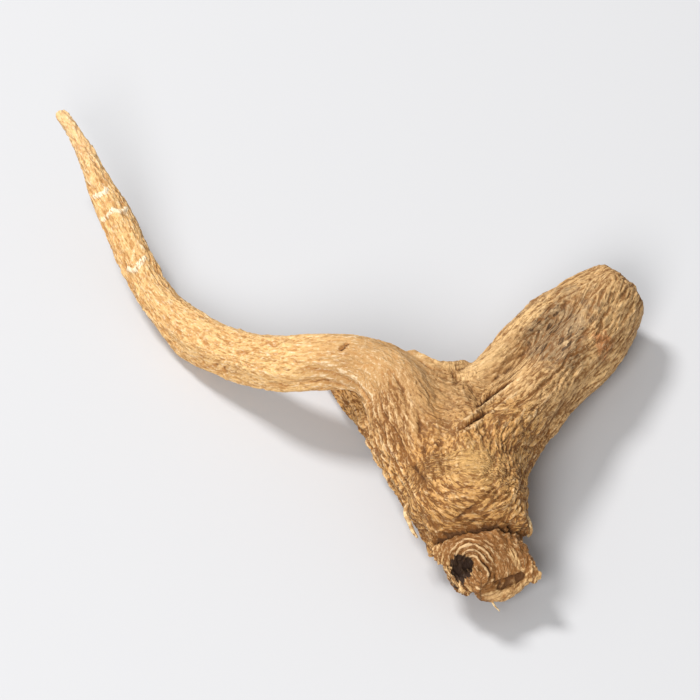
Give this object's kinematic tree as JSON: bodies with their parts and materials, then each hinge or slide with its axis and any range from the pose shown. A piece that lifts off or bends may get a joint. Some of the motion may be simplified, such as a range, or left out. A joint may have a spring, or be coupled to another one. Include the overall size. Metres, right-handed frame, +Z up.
{
  "type": "american ginseng root",
  "caption": "Whole dried forked root with a wrinkled tan skin, a scarred neck stub, a long curling leg and a short blunt leg.",
  "frame": {"origin": "middle of the root's bounding box in plan, on the plane that it rests on", "axes": "+Z up from the table; the neck points to -Y, the two legs to +Y, the long leg's tip on the -X side and the blunt leg on the +X side"},
  "size_m": [0.088, 0.0942, 0.0171],
  "materials": {
    "dried_root": "matte"
  },
  "bodies": {
    "root": {"ginseng_root": "dried_root"}
  },
  "joints": []
}
